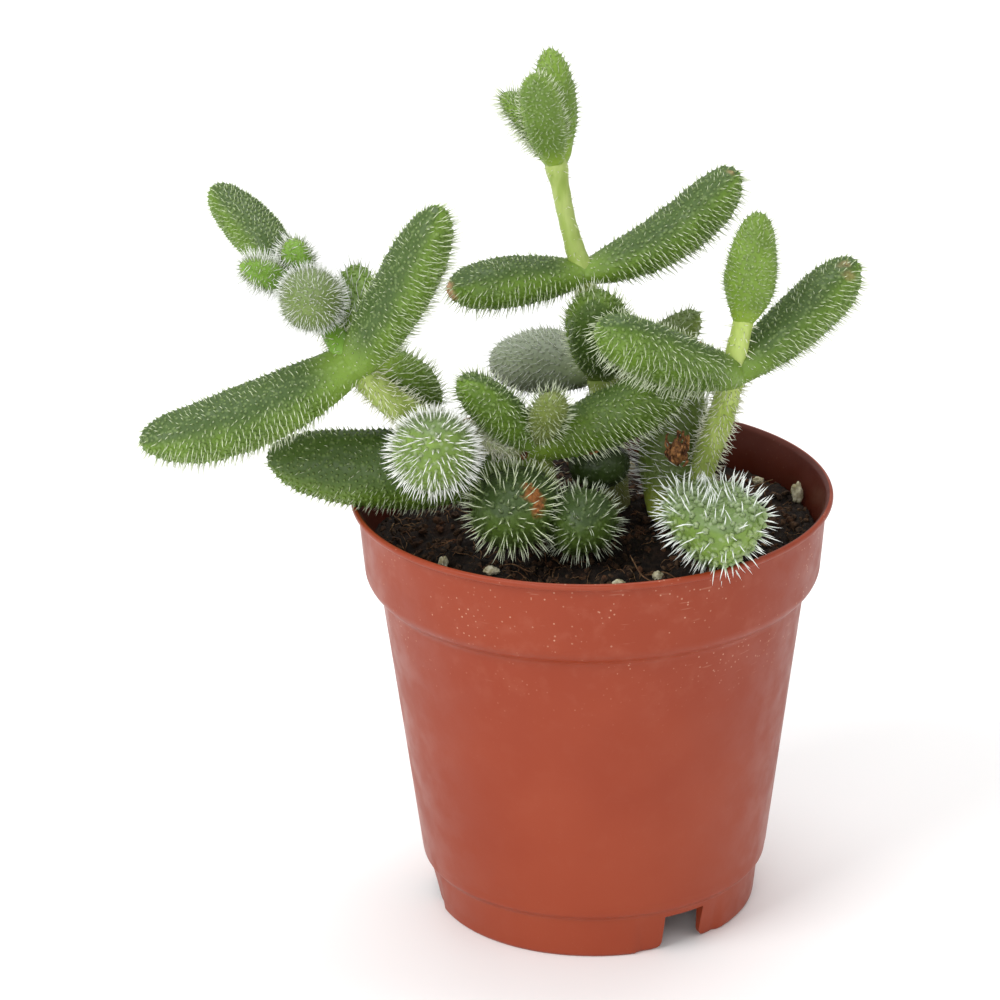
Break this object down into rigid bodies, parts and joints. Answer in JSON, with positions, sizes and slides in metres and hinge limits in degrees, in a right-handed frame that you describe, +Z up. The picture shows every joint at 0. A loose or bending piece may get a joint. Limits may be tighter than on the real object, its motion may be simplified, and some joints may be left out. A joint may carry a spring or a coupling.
{
  "type": "potted pickle plant",
  "caption": "Small bristly succulent with plump finger-like leaves on green stems, growing in compost in a tapered plastic nursery pot.",
  "frame": {"origin": "middle of the object's footprint, on the surface that the pot stands on; the pot's own axis is 9.7 mm to +X of it, because the plant leans out to the left", "axes": "+Z up along the pot's axis, -Y towards the front, from which the picture was taken, +X to the right"},
  "size_m": [0.081, 0.055, 0.0989],
  "materials": {
    "pot_plastic": "satin moulded plastic, terracotta coloured, with dust and fine scratches",
    "compost": "rough dark peat with fibres",
    "stem_skin": "pale yellow-green, hairy",
    "leaf_skin": "green, set with small bumps that each end in a white bristle",
    "young_leaf_skin": "light green, thickly set with long white bristles",
    "perlite": "dull off-white grain",
    "dry_bud": "dry, papery, brown"
  },
  "bodies": {
    "root": {"dry_bud": "dry_bud", "leaf_centre_bud": "young_leaf_skin", "leaf_centre_left": "leaf_skin", "leaf_centre_long": "leaf_skin", "leaf_centre_right": "leaf_skin", "leaf_crown_back": "leaf_skin", "leaf_crown_front": "leaf_skin", "leaf_crown_left": "leaf_skin", "leaf_front_left": "leaf_skin", "leaf_front_middle": "leaf_skin", "leaf_left_back": "leaf_skin", "leaf_left_ball": "young_leaf_skin", "leaf_left_long": "leaf_skin", "leaf_left_lower": "leaf_skin", "leaf_left_upper": "leaf_skin", "leaf_middle_dark": "leaf_skin", "leaf_rear_front": "leaf_skin", "leaf_rear_left": "leaf_skin", "leaf_rear_right": "leaf_skin", "leaf_right_ball": "young_leaf_skin", "leaf_right_front": "leaf_skin", "leaf_right_inner": "leaf_skin", "leaf_right_outer": "leaf_skin", "leaf_right_upper": "leaf_skin", "leaf_tip_back": "leaf_skin", "leaf_tip_front": "young_leaf_skin", "leaf_tip_left": "young_leaf_skin", "leaf_tip_upper": "young_leaf_skin", "leaf_top_left": "leaf_skin", "leaf_top_right": "leaf_skin", "perlite_1": "perlite", "perlite_2": "perlite", "perlite_3": "perlite", "perlite_4": "perlite", "perlite_5": "perlite", "perlite_6": "perlite", "perlite_7": "perlite", "perlite_8": "perlite", "pot": "pot_plastic", "soil": "compost", "stem_centre": "stem_skin", "stem_left": "stem_skin", "stem_rear": "stem_skin", "stem_right": "stem_skin"}
  },
  "joints": []
}
